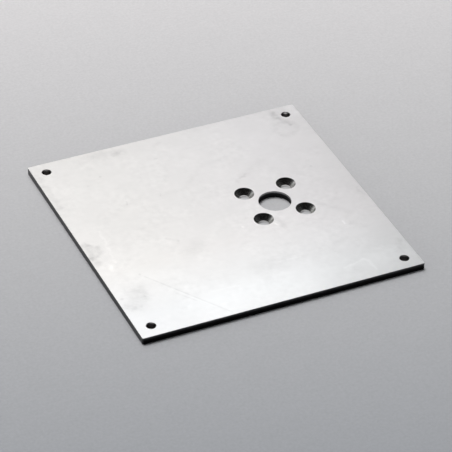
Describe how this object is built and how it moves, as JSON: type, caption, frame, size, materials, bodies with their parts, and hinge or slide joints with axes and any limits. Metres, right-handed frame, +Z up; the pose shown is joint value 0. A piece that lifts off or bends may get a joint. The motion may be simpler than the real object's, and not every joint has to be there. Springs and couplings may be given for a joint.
{
  "type": "rectangular cover plate",
  "caption": "Flat square aluminium cover plate with plain corner fixing holes and an offset bore inside a square of countersunk screw holes.",
  "frame": {"origin": "middle of the underside, level with the surface the plate lies on", "axes": "+Z up out of the countersunk top face, +X from the plate's middle towards the offset bore, +Y along the plate's other side"},
  "size_m": [0.2, 0.2, 0.005],
  "materials": {
    "plate_aluminium": "mill finish, lightly rubbed"
  },
  "bodies": {
    "root": {"cover_plate": "plate_aluminium"}
  },
  "joints": []
}
